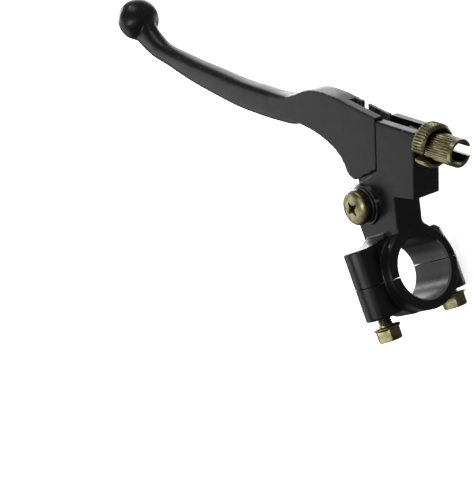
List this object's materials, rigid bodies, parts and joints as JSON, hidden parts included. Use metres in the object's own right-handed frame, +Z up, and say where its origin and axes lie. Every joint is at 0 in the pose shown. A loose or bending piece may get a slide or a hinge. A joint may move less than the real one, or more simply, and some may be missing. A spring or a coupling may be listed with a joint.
{
  "type": "clutch lever",
  "caption": "Black ball-end clutch lever on a split handlebar clamp perch, with pivot screw, hex flange clamp bolts and a slotted knurled cable adjuster.",
  "frame": {"origin": "centre of the handlebar clamp bore, on the bar's axis", "axes": "+X along the handlebar towards the cable adjuster (inboard), +Y forward from the bar towards the lever, +Z up along the lever's pivot"},
  "size_m": [0.1719, 0.1599, 0.0441],
  "materials": {
    "black_casting": "satin black paint on cast aluminium",
    "black_lever": "satin black paint on cast aluminium",
    "black_washer": "black washer, satin",
    "olive_zinc": "yellow-olive zinc plated steel, satin",
    "bush_steel": "plain turned steel"
  },
  "bodies": {
    "perch": {"perch_body": "black_casting", "pivot_screw": "olive_zinc", "pivot_washer": "black_washer", "pivot_nut": "olive_zinc"},
    "lever": {"lever_blade": "black_lever", "pivot_bush": "bush_steel"},
    "lock_ring": {"adjuster_lock_ring": "olive_zinc"},
    "adjuster": {"cable_adjuster": "olive_zinc"},
    "cap": {"clamp_cap": "black_casting"},
    "bolt_upper": {"clamp_bolt_upper": "olive_zinc"},
    "bolt_lower": {"clamp_bolt_lower": "olive_zinc"}
  },
  "joints": [
    {"name": "lever_pivot", "type": "hinge", "parent": "perch", "child": "lever", "pos_m": [-0.0023, 0.0268, 0], "axis": [0, 0, 1], "range_deg": [0, 30]},
    {"name": "adjuster_travel", "type": "slide", "parent": "perch", "child": "lock_ring", "axis": [0.8914, -0.4532, 0], "range_m": [0, 0.005]},
    {"name": "adjuster_turn", "type": "hinge", "parent": "lock_ring", "child": "adjuster", "pos_m": [0.04049, 0.03551, -0.0002], "axis": [0.8914, -0.4532, 0], "range_deg": [0, 1440]},
    {"name": "clamp_cap_removal", "type": "slide", "parent": "perch", "child": "cap", "axis": [0, -1, 0], "range_m": [0, 0.025]},
    {"name": "upper_bolt_tightening", "type": "slide", "parent": "cap", "child": "bolt_upper", "axis": [0, 1, 0], "range_m": [0, 0.0028]},
    {"name": "lower_bolt_tightening", "type": "slide", "parent": "cap", "child": "bolt_lower", "axis": [0, 1, 0], "range_m": [0, 0.0011]}
  ],
  "couplings": [
    {"joint": "adjuster_turn", "follows": "adjuster_travel", "rad_per_m": 5026.5}
  ]
}
